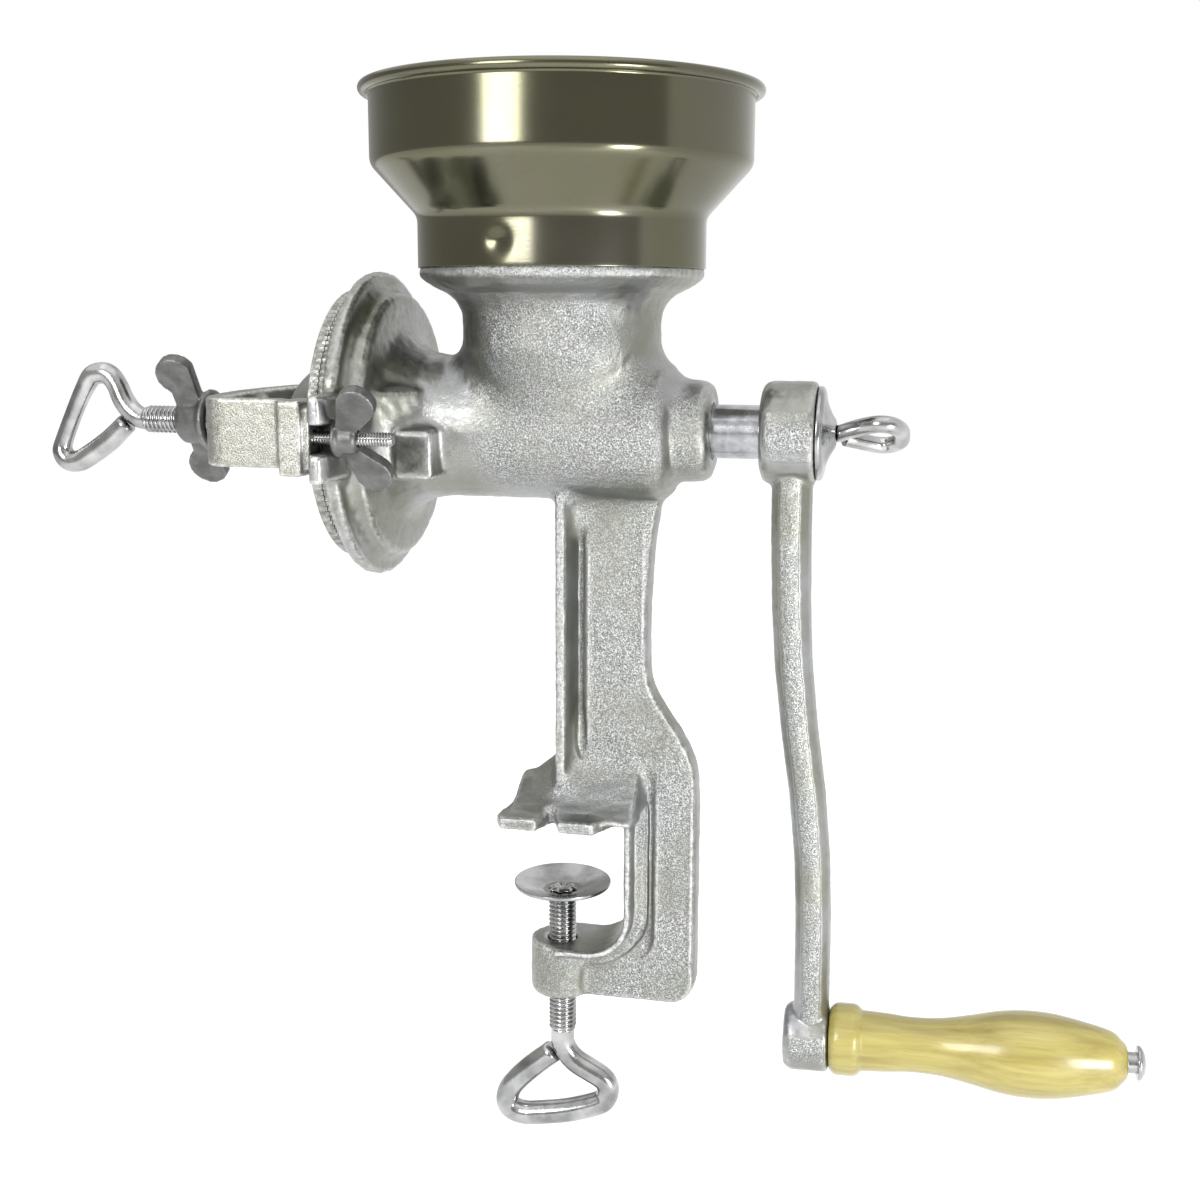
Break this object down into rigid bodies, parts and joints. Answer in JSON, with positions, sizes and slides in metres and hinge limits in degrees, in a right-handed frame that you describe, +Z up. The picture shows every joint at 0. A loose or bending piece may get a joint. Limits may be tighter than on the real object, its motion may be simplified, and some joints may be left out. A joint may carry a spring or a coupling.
{
  "type": "grain mill",
  "caption": "Hand-cranked cast mill with a spun hopper, toothed grinding plates held by a bolted bridge, a bent crank with a wooden grip and a screw clamp for a table edge.",
  "frame": {"origin": "on the underside of the clamp's upper jaw, on the axis of the clamp screw", "axes": "+X along the barrel from the grinding plates to the crank, +Z up along the hopper's axis, +Y away from the side with the square lug"},
  "size_m": [0.4355, 0.1504, 0.4084],
  "materials": {
    "tinned_casting": "tinned, coarse sand-cast texture",
    "polished_tinplate": "smooth, polished",
    "plated_steel": "bright plated",
    "dull_steel": "dull dark grey",
    "ground_iron": "ground",
    "varnished_wood": "pale, varnished"
  },
  "bodies": {
    "mill": {"mill_body": "tinned_casting", "stationary_plate": "ground_iron", "plate_pin_upper": "plated_steel", "plate_pin_lower": "plated_steel", "bridge": "tinned_casting", "front_stud": "plated_steel", "rear_stud": "plated_steel"},
    "thrust": {"thrust_ball": "plated_steel"},
    "drive": {"auger": "tinned_casting", "rotating_plate": "ground_iron", "drive_pin_upper": "plated_steel", "drive_pin_lower": "plated_steel", "crank_arm": "tinned_casting", "crank_washer": "plated_steel", "grip_bolt": "plated_steel"},
    "adjuster": {"adjusting_screw": "plated_steel"},
    "lock_nut": {"lock_wing_nut": "dull_steel"},
    "front_nut": {"front_wing_nut": "dull_steel"},
    "rear_nut": {"rear_wing_nut": "dull_steel"},
    "pad": {"swivel_pad": "plated_steel"},
    "clamp": {"clamp_screw": "plated_steel"},
    "crank_bolt": {"crank_screw": "plated_steel"},
    "handle": {"grip": "varnished_wood"},
    "bowl": {"hopper": "polished_tinplate"}
  },
  "joints": [
    {"name": "grind_adjust", "type": "slide", "parent": "mill", "child": "thrust", "axis": [1, 0, 0], "range_m": [-0.003, 0]},
    {"name": "drive_spin", "type": "hinge", "parent": "thrust", "child": "drive", "pos_m": [0, 0, 0.1487], "axis": [1, 0, 0], "continuous": true},
    {"name": "adjust_screw_turn", "type": "hinge", "parent": "thrust", "child": "adjuster", "pos_m": [-0.14, 0, 0.1487], "axis": [1, 0, 0], "range_deg": [-600, 0]},
    {"name": "lock_nut_spin", "type": "hinge", "parent": "mill", "child": "lock_nut", "pos_m": [-0.148, 0, 0.1487], "axis": [1, 0, 0], "continuous": true},
    {"name": "front_wing_nut_spin", "type": "hinge", "parent": "mill", "child": "front_nut", "pos_m": [-0.06, -0.063, 0.1487], "axis": [1, 0, 0], "continuous": true},
    {"name": "rear_wing_nut_spin", "type": "hinge", "parent": "mill", "child": "rear_nut", "pos_m": [-0.06, 0.063, 0.1487], "axis": [1, 0, 0], "continuous": true},
    {"name": "clamp_travel", "type": "slide", "parent": "mill", "child": "pad", "axis": [0, 0, 1], "range_m": [-0.016, 0.015]},
    {"name": "clamp_screw_turn", "type": "hinge", "parent": "pad", "child": "clamp", "pos_m": [0, 0, -0.06], "axis": [0, 0, 1], "range_deg": [-3200, 3000]},
    {"name": "crank_screw_spin", "type": "hinge", "parent": "drive", "child": "crank_bolt", "pos_m": [0.09, 0, 0.1487], "axis": [1, 0, 0], "continuous": true},
    {"name": "grip_spin", "type": "hinge", "parent": "drive", "child": "handle", "pos_m": [0.1065, 0, -0.0856], "axis": [0.9997, 0, 0.0236], "continuous": true},
    {"name": "hopper_lift", "type": "slide", "parent": "mill", "child": "bowl", "axis": [0, 0, 1], "range_m": [0, 0.04]}
  ],
  "couplings": [
    {"joint": "adjust_screw_turn", "follows": "grind_adjust", "rad_per_m": 3463.4},
    {"joint": "clamp_screw_turn", "follows": "clamp_travel", "rad_per_m": 3463.4}
  ]
}
